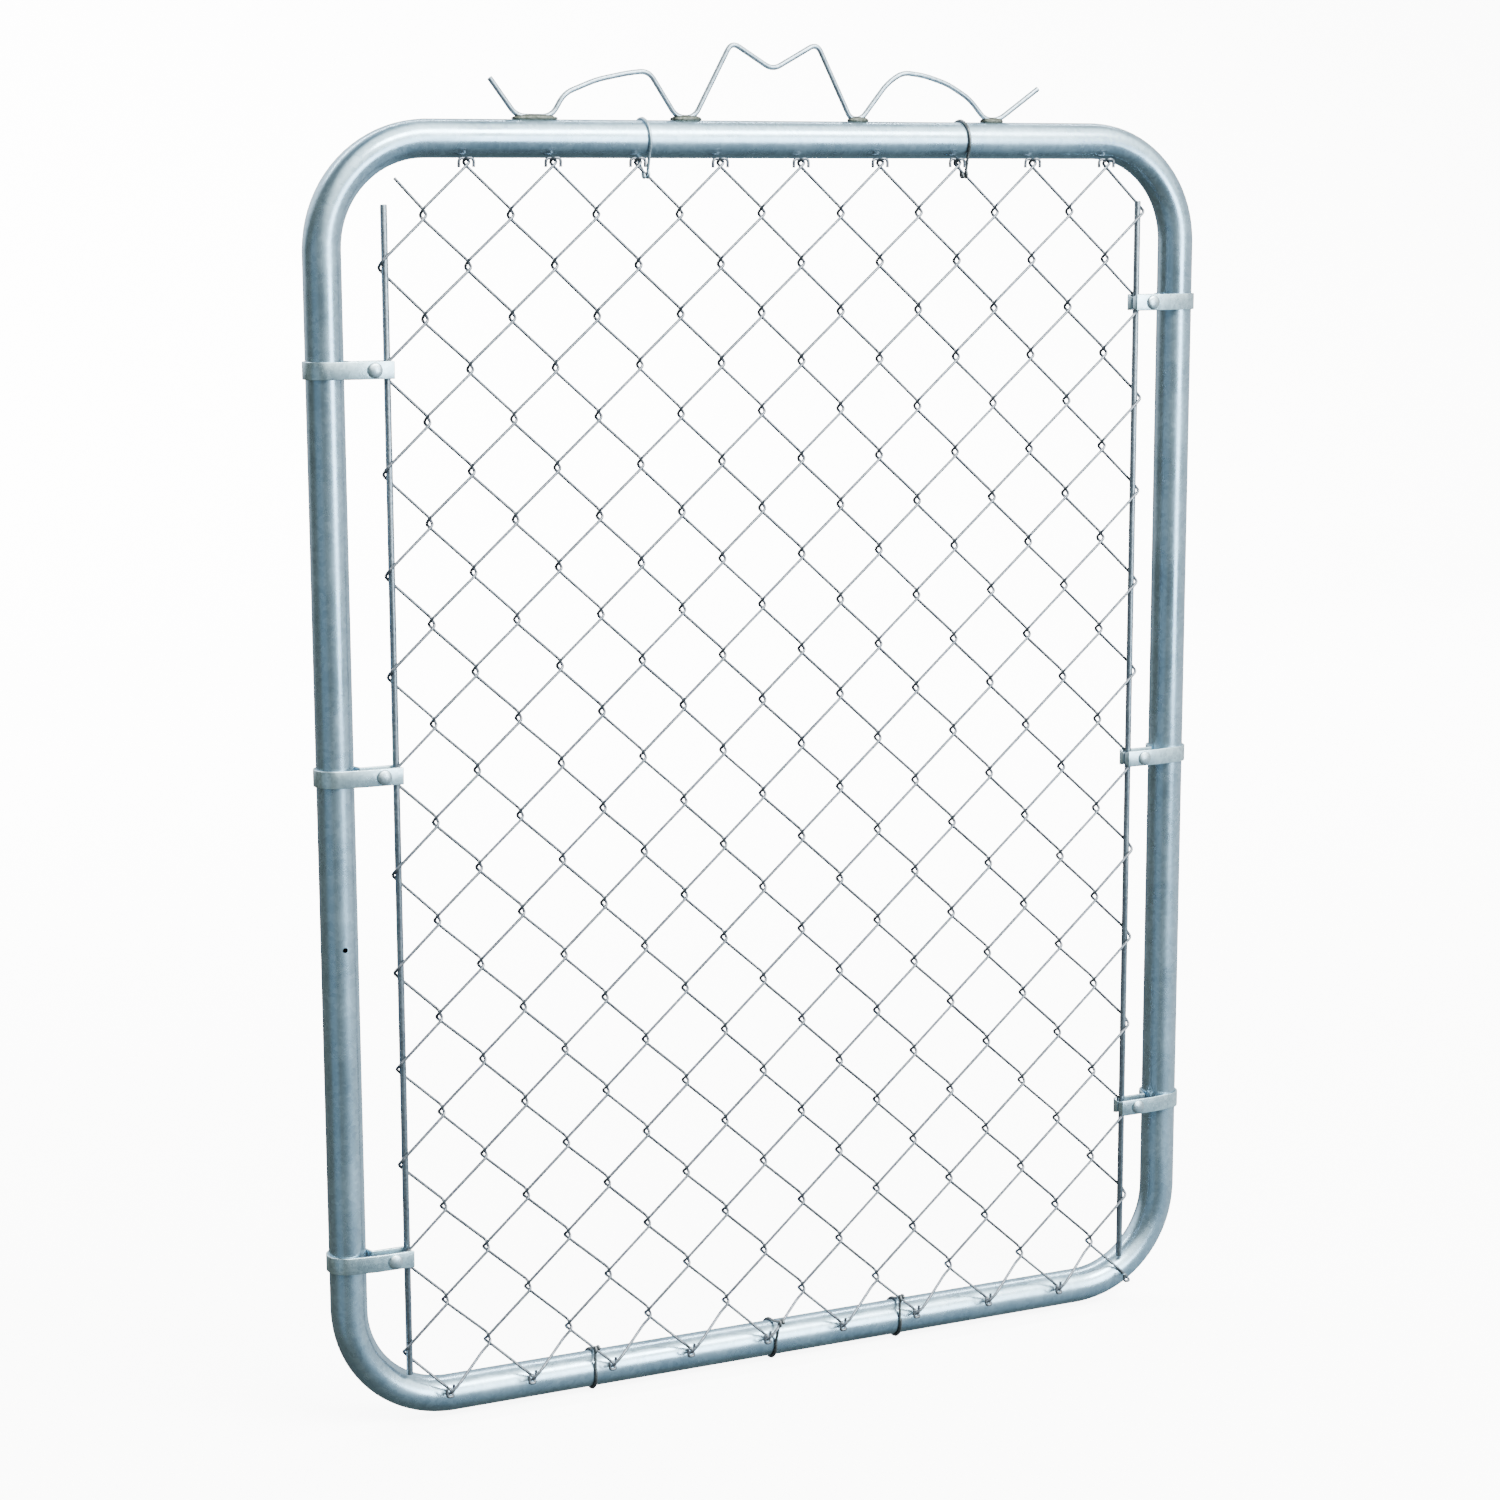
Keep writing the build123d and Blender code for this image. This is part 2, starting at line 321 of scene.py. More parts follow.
def rounded(corners, reach, steps=4):
    """The route through the corners, each eased into a curve that starts at most reach before it."""
    route = [corners[0]]
    for before, here, after in zip(corners, corners[1:], corners[2:]):
        back = before - here
        ahead = after - here
        trim = min(reach, 0.48 * back.length, 0.48 * ahead.length)
        start = here + back.normalized() * trim
        end = here + ahead.normalized() * trim
        for step in range(steps + 1):
            t = step / steps
            route.append(start * (1 - t) ** 2 + here * 2 * t * (1 - t) + end * t ** 2)
    route.append(corners[-1])
    return route


def bent_wire(name, corners, radius, reach, steps=4, sides=8):
    """A round wire bent along its corners, as a closed mesh."""
    drop_selection()
    line = bpy.data.curves.new(name, "CURVE")
    line.dimensions = "3D"
    line.bevel_depth = radius
    line.bevel_resolution = (sides - 4) // 2
    line.use_fill_caps = True
    route = rounded([Vector(c) for c in corners], reach, steps)
    spline = line.splines.new("POLY")
    spline.points.add(len(route) - 1)
    for point, place in zip(spline.points, route):
        point.co = (*place, 1.0)
    obj = bpy.data.objects.new(name, line)
    bpy.context.collection.objects.link(obj)
    pick_up(obj)
    bpy.ops.object.convert(target="MESH")
    obj = bpy.context.object
    apply_modifier(obj, "WELD", merge_threshold=1e-6)
    pick_up(obj)
    bpy.ops.object.mode_set(mode="EDIT")
    bpy.ops.mesh.select_all(action="SELECT")
    bpy.ops.mesh.normals_make_consistent(inside=False)
    bpy.ops.object.mode_set(mode="OBJECT")
    return settle(obj, name, 60.0)


# Galvanised steel, one finish for each kind of part, and a paler copy of the tie wire's finish that paints
# a highlight on one tie

def node(tree, kind, **inputs):
    """A shader node with some of its sockets set."""
    made = tree.nodes.new(kind)
    for key, value in inputs.items():
        made.inputs[key.replace("_", " ")].default_value = value
    return made


def ramp(tree, source, stops):
    """A colour ramp on a value, as (position, colour) stops."""
    made = tree.nodes.new("ShaderNodeValToRGB")
    made.color_ramp.elements[0].position = stops[0][0]
    made.color_ramp.elements[0].color = (*stops[0][1], 1)
    made.color_ramp.elements[1].position = stops[-1][0]
    made.color_ramp.elements[1].color = (*stops[-1][1], 1)
    for place, colour in stops[1:-1]:
        made.color_ramp.elements.new(place).color = (*colour, 1)
    tree.links.new(source, made.inputs["Fac"])
    return made.outputs["Color"]


def blend_colours(tree, how, share, first, second):
    """One colour blended over another, where the share and the colours are sockets or plain values."""
    made = tree.nodes.new("ShaderNodeMix")
    made.data_type = "RGBA"
    made.blend_type = how
    if isinstance(share, (int, float)):
        made.inputs["Factor"].default_value = share
    else:
        tree.links.new(share, made.inputs["Factor"])
    for socket, value in ((6, first), (7, second)):
        if isinstance(value, tuple):
            made.inputs[socket].default_value = (*value, 1)
        else:
            tree.links.new(value, made.inputs[socket])
    return made.outputs[2]


CLOUD_SCALE = 14.0
STREAK_SCALE = 260.0
STREAK_STRETCH = (1.0, 1.0, 0.12)
FINE_SCALE = 1400.0
PATCH_TONES = ((0.35, (0.80, 0.82, 0.84)), (0.68, (1.0, 1.0, 1.0)))
PATCH_SHARE = 0.8
STREAK_TONES = ((0.36, (0.72, 0.74, 0.76)), (0.56, (1.0, 1.0, 1.0)))
CLOUD_REACH = (0.3, 0.7)
SMOOTHER = 0.07
ROUGHER = 0.10
RELIEF_DEPTH = 0.00008


def galvanised(name, pale, dull, grain, gloss, bump, streak=0.25):
    """Zinc-coated steel: crystals of two tones, long faint streaks, dull patches and a soft gloss."""
    material = bpy.data.materials.new(name)
    material.use_nodes = True
    tree = material.node_tree
    tree.nodes.clear()
    output = tree.nodes.new("ShaderNodeOutputMaterial")
    shader = node(tree, "ShaderNodeBsdfPrincipled", Metallic=0.92)
    tree.links.new(shader.outputs["BSDF"], output.inputs["Surface"])
    place = tree.nodes.new("ShaderNodeTexCoord").outputs["Object"]

    crystals = node(tree, "ShaderNodeTexVoronoi", Scale=grain)
    tree.links.new(place, crystals.inputs["Vector"])
    cloud = node(tree, "ShaderNodeTexNoise", Scale=CLOUD_SCALE, Detail=5.0, Roughness=0.6)
    tree.links.new(place, cloud.inputs["Vector"])
    stretch = node(tree, "ShaderNodeMapping", Scale=STREAK_STRETCH)
    tree.links.new(place, stretch.inputs["Vector"])
    drawn = node(tree, "ShaderNodeTexNoise", Scale=STREAK_SCALE, Detail=3.0)
    tree.links.new(stretch.outputs["Vector"], drawn.inputs["Vector"])
    fine = node(tree, "ShaderNodeTexNoise", Scale=FINE_SCALE, Detail=2.0)
    tree.links.new(place, fine.inputs["Vector"])

    one_tone = tree.nodes.new("ShaderNodeSeparateColor")
    tree.links.new(crystals.outputs["Color"], one_tone.inputs["Color"])
    body = ramp(tree, one_tone.outputs["Red"], ((0.0, dull), (1.0, pale)))
    patch = ramp(tree, cloud.outputs["Fac"], PATCH_TONES)
    body = blend_colours(tree, "MULTIPLY", PATCH_SHARE, body, patch)
    line = ramp(tree, drawn.outputs["Fac"], STREAK_TONES)
    body = blend_colours(tree, "MULTIPLY", streak, body, line)
    tree.links.new(body, shader.inputs["Base Color"])

    rough = node(tree, "ShaderNodeMapRange", From_Min=CLOUD_REACH[0], From_Max=CLOUD_REACH[1],
                 To_Min=gloss - SMOOTHER, To_Max=gloss + ROUGHER)
    tree.links.new(cloud.outputs["Fac"], rough.inputs["Value"])
    tree.links.new(rough.outputs["Result"], shader.inputs["Roughness"])

    height = tree.nodes.new("ShaderNodeMath")
    height.operation = "MULTIPLY_ADD"
    height.inputs[1].default_value = 0.5
    tree.links.new(fine.outputs["Fac"], height.inputs[0])
    tree.links.new(one_tone.outputs["Green"], height.inputs[2])
    relief = node(tree, "ShaderNodeBump", Strength=bump, Distance=RELIEF_DEPTH)
    tree.links.new(height.outputs["Value"], relief.inputs["Height"])
    tree.links.new(relief.outputs["Normal"], shader.inputs["Normal"])
    return material


TUBE_FINISH = galvanised("frame_tube_zinc", pale=(0.38, 0.53, 0.64), dull=(0.30, 0.43, 0.53),
                         grain=240.0, gloss=0.26, bump=0.08, streak=0.15)
WIRE_FINISH = galvanised("fabric_wire_zinc", pale=(0.20, 0.22, 0.25), dull=(0.10, 0.12, 0.14),
                         grain=700.0, gloss=0.38, bump=0.3)
ROD_FINISH = galvanised("tension_rod_zinc", pale=(0.25, 0.31, 0.36), dull=(0.16, 0.20, 0.24),
                        grain=420.0, gloss=0.34, bump=0.3)
BAND_FINISH = galvanised("band_strip_zinc", pale=(0.55, 0.73, 0.81), dull=(0.40, 0.54, 0.61),
                         grain=330.0, gloss=0.27, bump=0.15)
BOLT_FINISH = galvanised("carriage_bolt_zinc", pale=(0.50, 0.63, 0.70), dull=(0.36, 0.46, 0.52),
                         grain=900.0, gloss=0.32, bump=0.2)
TIE_FINISH = galvanised("tie_wire_zinc", pale=(0.17, 0.19, 0.20), dull=(0.09, 0.10, 0.11),
                        grain=700.0, gloss=0.42, bump=0.3)
# Painted highlight: a paler copy of the tie wire's finish, so that one tie of the same wire looks lit
TIE_FINISH_PAINTED_HIGHLIGHT = galvanised("tie_wire_zinc_painted_highlight", pale=(0.42, 0.54, 0.62), dull=(0.30, 0.40, 0.47),
                             grain=700.0, gloss=0.36, bump=0.2)
WELD_FINISH = galvanised("weld_bead_zinc", pale=(0.10, 0.11, 0.10), dull=(0.04, 0.05, 0.04),
                         grain=600.0, gloss=0.50, bump=0.5)
SCROLL_FINISH = galvanised("scroll_wire_zinc", pale=(0.36, 0.44, 0.50), dull=(0.23, 0.29, 0.34),
                           grain=420.0, gloss=0.33, bump=0.3)


def finish(obj, material, slot_name, *nodes):
    """Give a piece its finish and its place in the frame, standing for the nodes named."""
    obj.data.materials.clear()
    obj.data.materials.append(material)
    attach(obj, "root")
    if nodes:
        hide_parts(*nodes)
    return obj


# Leaf frame: one tube bent at its four corners

def frame_tube():
    """A ring drawn up the left upright and on round the leaf, through four straight runs and four bends."""
    bend_top = TOP_Z - BEND_R
    bend_bottom = BOTTOM_Z + BEND_R
    drop_selection()
    bpy.ops.mesh.primitive_circle_add(vertices=TUBE_SIDES, radius=TUBE_R, location=(LEFT_X, 0, bend_bottom))
    tube = bpy.context.object
    bpy.ops.object.transform_apply(location=True)
    bpy.ops.object.mode_set(mode="EDIT")
    bpy.ops.mesh.select_all(action="SELECT")
    straight_z = bend_top - bend_bottom
    straight_x = RIGHT_X - LEFT_X - 2 * BEND_R
    runs = (
        ((0, 0, straight_z), (LEFT_X + BEND_R, 0, bend_top)),
        ((straight_x, 0, 0), (RIGHT_X - BEND_R, 0, bend_top)),
        ((0, 0, -straight_z), (RIGHT_X - BEND_R, 0, bend_bottom)),
        ((-straight_x, 0, 0), (LEFT_X + BEND_R, 0, bend_bottom)),
    )
    for run, centre in runs:
        step = tuple(part / RUN_RINGS for part in run)
        for _ in range(RUN_RINGS):
            bpy.ops.mesh.extrude_region_move(TRANSFORM_OT_translate={"value": step})
        bpy.ops.mesh.spin(steps=BEND_RINGS, angle=math.radians(90), center=centre, axis=(0, -1, 0))
    bpy.ops.mesh.select_all(action="SELECT")
    bpy.ops.mesh.remove_doubles(threshold=1e-5)
    bpy.ops.mesh.normals_make_consistent(inside=False)
    bpy.ops.object.mode_set(mode="OBJECT")
    flatten_bends(tube, bend_top, bend_bottom)
    apply_modifier(tube, "SOLIDIFY", thickness=TUBE_WALL, offset=-1)
    cut_vent(tube)
    return settle(tube, "bent_frame_tube", 40.0)


def flatten_bends(tube, bend_top, bend_bottom):
    """The bender leaves each bend a little flat on its outside, and a little wide from front to back."""
    for vert in tube.data.vertices:
        over = min(max(bend_bottom - vert.co.z, vert.co.z - bend_top), BEND_R + TUBE_R)
        centre_x = min(max(vert.co.x, LEFT_X + BEND_R), RIGHT_X - BEND_R)
        if over <= 0 or near(centre_x, vert.co.x):
            continue
        centre = Vector((centre_x, 0, bend_top if vert.co.z > bend_top else bend_bottom))
        arm = Vector((vert.co.x, 0, vert.co.z)) - centre
        turn = math.atan2(abs(arm.z), abs(arm.x)) / math.radians(90)
        share = math.sin(math.pi * turn) ** BEND_FADE
        outside = max(0.0, (arm.length - BEND_R) / TUBE_R)
        vert.co -= arm.normalized() * (BEND_FLATTENING * share * outside ** 2)
        vert.co.y *= 1 + BEND_WIDENING * share


def cut_vent(tube):
    """Small round hole through the front wall of the left upright."""
    drop_selection()
    bpy.ops.mesh.primitive_cylinder_add(vertices=ROUND_SIDES, radius=VENT_D / 2, depth=2 * TUBE_R,
                                        location=(LEFT_X, -TUBE_R, VENT_Z),
                                        rotation=(math.radians(90), 0, 0))
    cut_with(tube, bpy.context.object, "DIFFERENCE")


# Woven fabric: zig-zag wires hooked into one another

def row_height(row):
    """Height of a row of bends."""
    return BOTTOM_Z + FABRIC_BOTTOM + ROW_STEP * row


def row_depth(row):
    """Depth of a row's middle, where the lowest row stands out in front of its rail."""
    return FABRIC_SILL_Y if row == 0 else FABRIC_Y


def bend_x(wire, at_right):
    """x of a wire's bends at its right or its left, a little past those of the wire that it hooks."""
    if at_right:
        outer = wire == WIRE_COUNT - 1
        return LAST_COLUMN if outer else FIRST_COLUMN + COLUMN_STEP * (wire + 1) + HOOK_OVERLAP
    return FIRST_COLUMN if wire == 0 else FIRST_COLUMN + COLUMN_STEP * wire - HOOK_OVERLAP


def wire_corners(wire):
    """Corners of one wire, from the tail of its bottom knuckle to that of its top one."""
    h = FABRIC_HALF_DEPTH
    at_right = wire % 2 == 0
    side = 1 if at_right else -1
    x = bend_x(wire, at_right)
    z = row_height(0)
    y = row_depth(0)
    tail_x = x - side * (2 * HOOK_OVERLAP + KNUCKLE_REACH)
    corners = [
        (tail_x, y - side * h, z - KNUCKLE_RISE + KNUCKLE_TAIL),
        (tail_x, y - side * h, z - KNUCKLE_RISE),
        (x, y - side * h, z - KNUCKLE_RISE),
        (x, y + side * h, z + KNUCKLE_RISE),
    ]
    next_x = bend_x(wire, not at_right)
    for share, depth in LOW_KNEES:
        knee_z = z + KNUCKLE_RISE + share * (ROW_STEP - KNUCKLE_RISE - LINK_RISE)
        corners.append((x + share * (next_x - x), depth + side * h, knee_z))
    for row in range(1, LEG_COUNT + 1):
        at_right = not at_right
        x_before, z_before = x, z
        x = bend_x(wire, at_right)
        z = row_height(row)
        y = row_depth(row)
        layer = -h if at_right else h
        if row == LEG_COUNT and wire == 0:
            share = SHORT_LEG_SHARE
            end_z = z_before + LINK_RISE + share * (z - z_before)
            corners.append((x_before + share * (x - x_before), y + layer, end_z))
            return corners
        rise = KNUCKLE_RISE if row == LEG_COUNT else LINK_RISE
        corners.append((x, y + layer, z - rise))
        corners.append((x, y - layer, z + rise))
    side = 1 if at_right else -1
    tail_x = x - side * (2 * HOOK_OVERLAP + KNUCKLE_REACH)
    corners.append((tail_x, y - layer, z + KNUCKLE_RISE))
    corners.append((tail_x, y - layer, z + KNUCKLE_RISE - KNUCKLE_TAIL))
    return corners


def woven_fabric():
    """The outer two and one pair of inner wires are bent, and the rest are copies of the pair."""
    wires = []
    for wire in (0, WIRE_COUNT - 1, 1, 2):
        wires.append(bent_wire(f"fabric_wire_{wire + 1}", wire_corners(wire), WIRE_R, WIRE_EASE))
    for wire in range(3, WIRE_COUNT - 1):
        model = wires[2] if wire % 2 else wires[3]
        first = 1 if wire % 2 else 2
        shift = Matrix.Translation((COLUMN_STEP * (wire - first), 0, 0))
        wires.append(copy_of(model, f"fabric_wire_{wire + 1}", shift))
    fabric = join(wires)
    waver = bpy.data.textures.new("hand_of_the_weave", "CLOUDS")
    waver.noise_scale = WAVER_SCALE
    for direction, strength in WAVER:
        apply_modifier(fabric, "DISPLACE", texture=waver, texture_coords="LOCAL",
                       direction=direction, strength=strength, mid_level=0.5)
    bpy.data.textures.remove(waver)
    return settle(fabric, "woven_chain_link_fabric", 60.0)


# Tension rods through the end loops

def tension_rod(name, node_name):
    """A rod in the place of its node, with both ends eased."""
    low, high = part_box(node_name)
    radius = (high.x - low.x) / 2
    drop_selection()
    bpy.ops.mesh.primitive_cylinder_add(vertices=ROUND_SIDES, radius=radius, depth=high.z - low.z,
                                        location=(low + high) / 2)
    rod = bpy.context.object
    bpy.ops.object.mode_set(mode="EDIT")
    for end in (-1, 1):
        pick(rod, "faces", lambda face: face.normal.z * end > 0.9)
        bpy.ops.mesh.bevel(offset=ROD_END_EASE, segments=3, affect="EDGES")
    bpy.ops.object.mode_set(mode="OBJECT")
    return settle(rod, name, 50.0)


# Bands: a strip bent round the upright, with two ears that hold the rod

def touch_angle(px, py, radius, turn):
    """Angle round the upright where a line from (px, py) just touches a circle."""
    return math.atan2(py, px) + turn * math.acos(radius / math.hypot(px, py))


def band_strip():
    """One band at the origin of its upright, its ears towards +X."""
    wrap_r = TUBE_R + BAND_PLAY + BAND_T / 2
    front = touch_angle(EAR_START, FRONT_EAR_Y, wrap_r, -1)
    back = touch_angle(EAR_START, BACK_EAR_Y, wrap_r, 1)
    drop_selection()
    bpy.ops.mesh.primitive_plane_add(size=1, rotation=(math.radians(90), 0, 0))
    band = bpy.context.object
    band.scale = (EAR_END - EAR_START, BAND_HEIGHT, 1)
    band.location = ((EAR_START + EAR_END) / 2, FRONT_EAR_Y, 0)
    bpy.ops.object.transform_apply(location=True, rotation=True, scale=True)
    bpy.ops.object.mode_set(mode="EDIT")

    def pull_edge(start, move):
        """Extrude the edge whose middle is at start."""
        pick(band, "edges", lambda edge: (middle(edge) - Vector(start)).length < 1e-5)
        bpy.ops.mesh.extrude_region_move(TRANSFORM_OT_translate={"value": move})

    start = Vector((EAR_START, FRONT_EAR_Y, 0))
    touch = Vector((wrap_r * math.cos(front), wrap_r * math.sin(front), 0))
    pull_edge(start, touch - start)
    wrap = (front - back) % (2 * math.pi)
    bpy.ops.mesh.spin(steps=WRAP_STEPS, angle=wrap, center=(0, 0, 0), axis=(0, 0, 1))
    off = Vector((wrap_r * math.cos(back), wrap_r * math.sin(back), 0))
    ear = Vector((EAR_START, BACK_EAR_Y, 0))
    pull_edge(off, ear - off)
    pull_edge(ear, (EAR_END - EAR_START, 0, 0))
    lip_reach = (BACK_EAR_Y - FRONT_EAR_Y - LIP_GAP) / 2
    pull_edge((EAR_END, BACK_EAR_Y, 0), (0, -lip_reach, 0))
    bpy.ops.transform.resize(value=(1, 1, LIP_HEIGHT / BAND_HEIGHT))
    pull_edge((EAR_END, FRONT_EAR_Y, 0), (0, lip_reach, 0))
    bpy.ops.transform.resize(value=(1, 1, LIP_HEIGHT / BAND_HEIGHT))
    bpy.ops.mesh.select_all(action="SELECT")
    bpy.ops.mesh.remove_doubles(threshold=1e-6)
    bpy.ops.mesh.normals_make_consistent(inside=False)
    bpy.ops.object.mode_set(mode="OBJECT")
    apply_modifier(band, "SOLIDIFY", thickness=BAND_T, offset=0, use_even_offset=True)
    apply_modifier(band, "BEVEL", width=BAND_EDGE, segments=3, limit_method="ANGLE",
                   angle_limit=math.radians(40))
    return settle(band, "tension_band", 40.0)


# Carriage bolts through the bands, with hexagon nuts behind

def across_band(sides, radius, depth, middle_y):
    """A cylinder that lies from front to back on the band's bolt line, with its place in its mesh."""
    drop_selection()
    bpy.ops.mesh.primitive_cylinder_add(vertices=sides, radius=radius, depth=depth,
                                        location=(BOLT_OFFSET, middle_y, 0),
                                        rotation=(math.radians(90), 0, 0))
    obj = bpy.context.object
    bpy.ops.object.transform_apply(location=True, rotation=True)
    return obj


def draw_out(move, widen=1.0):
    """In edit mode, extrude what is selected along Y and make its new end wider or narrower."""
    bpy.ops.mesh.extrude_region_move(TRANSFORM_OT_translate={"value": (0, move, 0)})
    if widen != 1.0:
        bpy.ops.transform.resize(value=(widen, 1, widen))


def carriage_bolt():
    """One bolt on the band's bolt line, its domed head in front, at the height of the band's middle."""
    head_y = FRONT_EAR_Y - BAND_T / 2
    head = across_band(32, HEAD_R, HEAD_EDGE, head_y - HEAD_EDGE / 2)
    bpy.ops.object.mode_set(mode="EDIT")
    pick(head, "faces", lambda face: face.normal.y < -0.9)
    for ring in range(1, HEAD_RINGS + 1):
        angle = ring / HEAD_RINGS * math.radians(90)
        before = (ring - 1) / HEAD_RINGS * math.radians(90)
        rise = (HEAD_RISE - HEAD_EDGE) * (math.sin(angle) - math.sin(before))
        draw_out(-rise, max(math.cos(angle), HEAD_TIP) / math.cos(before))
    bpy.ops.object.mode_set(mode="OBJECT")

    root_r = BOLT_R - THREAD_DEPTH
    shank_end = BACK_EAR_Y + BAND_T / 2 + NUT_HEIGHT + BOLT_END
    shank = across_band(ROUND_SIDES, root_r, SHANK_START, head_y + SHANK_START / 2)
    bpy.ops.object.mode_set(mode="EDIT")
    pick(shank, "faces", lambda face: face.normal.y > 0.9)
    draw_out(shank_end - 2 * THREAD_COUNT * THREAD_RISE - head_y - SHANK_START)
    for _ in range(THREAD_COUNT):
        draw_out(THREAD_RISE, BOLT_R / root_r)
        draw_out(THREAD_RISE, root_r / BOLT_R)
    bpy.ops.mesh.inset(thickness=SHANK_EDGE)
    bpy.ops.object.mode_set(mode="OBJECT")
    return settle(join([head, shank]), "carriage_bolt", 45.0)


def hexagon_nut():
    """One nut against the back ear, with its corners cut by a cone and a bore of its own."""
    face_y = BACK_EAR_Y + BAND_T / 2
    nut = across_band(6, NUT_R, NUT_HEIGHT, face_y + NUT_HEIGHT / 2)
    drop_selection()
    bpy.ops.mesh.primitive_cone_add(vertices=48, radius1=CONE_WIDE, radius2=CONE_NARROW,
                                    depth=NUT_HEIGHT + CONE_LONGER,
                                    location=(BOLT_OFFSET, face_y + NUT_HEIGHT / 2 - CONE_BACK, 0),
                                    rotation=(math.radians(-90), 0, 0))
    cut_with(nut, bpy.context.object, "INTERSECT")
    bore = across_band(ROUND_SIDES, BOLT_R + NUT_BORE_PLAY, 4 * NUT_HEIGHT, face_y)
    cut_with(nut, bore, "DIFFERENCE")
    apply_modifier(nut, "WELD", merge_threshold=NUT_MERGE)
    return settle(nut, "hexagon_nut", 35.0)


def bands_with_bolts():
    """Six bands, each with its bolt and nut, turned a little so that no two nuts stand alike."""
    strip = band_strip()
    bolt = carriage_bolt()
    nut = hexagon_nut()
    chance = random.Random(11)
    bolt_line = Matrix.Translation((BOLT_OFFSET, 0, 0))
    for side in ("left", "right"):
        for height in ("upper", "middle", "lower"):
            place = f"{side}_{height}"
            low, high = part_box(f"band_{place}")
            stand = Vector((LEFT_X if side == "left" else RIGHT_X, 0, (low.z + high.z) / 2))
            face = Matrix.Scale(1 if side == "left" else -1, 4, (1, 0, 0))
            put = Matrix.Translation(stand) @ face
            spin = Matrix.Rotation(chance.uniform(-BOLT_TURN, BOLT_TURN), 4, "Y")
            turn = bolt_line @ spin @ bolt_line.inverted()
            band = copy_of(strip, f"tension_band_{place}", put)
            finish(band, BAND_FINISH, "band_strip", f"band_{place}")
            finish(copy_of(bolt, f"carriage_bolt_{place}", put @ turn), BOLT_FINISH, "band_strip")
            finish(copy_of(nut, f"hexagon_nut_{place}", put @ turn), BOLT_FINISH, "band_strip")
    for model in (strip, bolt, nut):
        bpy.data.objects.remove(model)


# Tie wires: each goes once round its rail, and its two ends hook round one leg of the fabric

def tie_route(x, rail_z, leg_y, leg_z):
    """Corners of the wire: hooked round the leg, once round the rail, and hooked round the leg again."""
    rail = Vector((x, 0, rail_z))
    leg = Vector((x, leg_y, leg_z))
    to_leg = math.atan2(leg.z - rail.z, leg.y - rail.y)
    corners = []

    def wind(centre, radius, start, sweep, steps, lean, end_lean):
        """Corners on an arc, its angles in degrees from the line that runs from the rail to the leg."""
        for step in range(steps + 1):
            share = step / steps
            angle = to_leg + math.radians(start + sweep * share)
            aside = lean + (end_lean - lean) * share
            corners.append(centre + Vector((aside, radius * math.cos(angle), radius * math.sin(angle))))

    hook_r = WIRE_R + TIE_R + TIE_LEG_PLAY
    wind(leg, hook_r, 150, -180, 6, -TIE_LEAN, -TIE_LEAN)
    wind(rail, TUBE_R + TIE_R + TIE_RAIL_PLAY, 35, 290, 22, -TIE_LEAN, TIE_LEAN)
    wind(leg, hook_r, 30, -180, 6, TIE_LEAN, TIE_LEAN)
    return corners


def column_x(column):
    """x of a column of bends."""
    return FIRST_COLUMN + COLUMN_STEP * column


def tie_wire(place, x, rail_z, leg_y, leg_z, material=TIE_FINISH):
    """One tie, from its corners to its finish."""
    corners = tie_route(x, rail_z, leg_y, leg_z)
    wire = bent_wire(f"tie_wire_{place}", corners, TIE_R, TIE_EASE, steps=2)
    finish(wire, material, "tie_wire", f"tie_{place}")


def tie_wires():
    """Each tie holds a leg of the fabric, part of the way along from the leg's bend at the rail."""
    slope = (ROW_STEP - 2 * LEG_END_RISE) / (COLUMN_STEP + 2 * HOOK_OVERLAP)
    for side, column in TOP_TIES:
        x = column_x(column) + TOP_TIE_REACH
        leg_z = row_height(LEG_COUNT) - LEG_END_RISE - (TOP_TIE_REACH + HOOK_OVERLAP) * slope
        # The top left tie takes the paler copy of the tie finish, a painted highlight; the other ties take
        # the plain one
        material = TIE_FINISH_PAINTED_HIGHLIGHT if side == "left" else TIE_FINISH
        tie_wire(f"top_{side}", x, TOP_Z, FABRIC_Y + FABRIC_HALF_DEPTH, leg_z, material)
    for side, column, reach in BOTTOM_TIES:
        x = column_x(column) + reach
        run = abs(reach) + HOOK_OVERLAP
        leg_y = FABRIC_SILL_Y - math.copysign(FABRIC_HALF_DEPTH, reach) + LOW_LEG_LEAN * run
        leg_z = row_height(0) + LEG_END_RISE + run * slope
        tie_wire(f"bottom_{side}", x, BOTTOM_Z, leg_y, leg_z)


# Scroll of bent wire, welded to the top rail at its feet

def scroll():
    """Low arch, double peak, low arch and a tail at each end, from one wire."""
    foot_z = TOP_Z + TUBE_R + SCROLL_R
    route = (*SCROLL_LEFT, SCROLL_DIP, *SCROLL_RIGHT)
    corners = [(MIDDLE_X + x * MM, 0, foot_z + z * MM) for x, z in route]
    return bent_wire("scroll_of_bent_wire", corners, SCROLL_R, SCROLL_EASE, steps=8, sides=14)


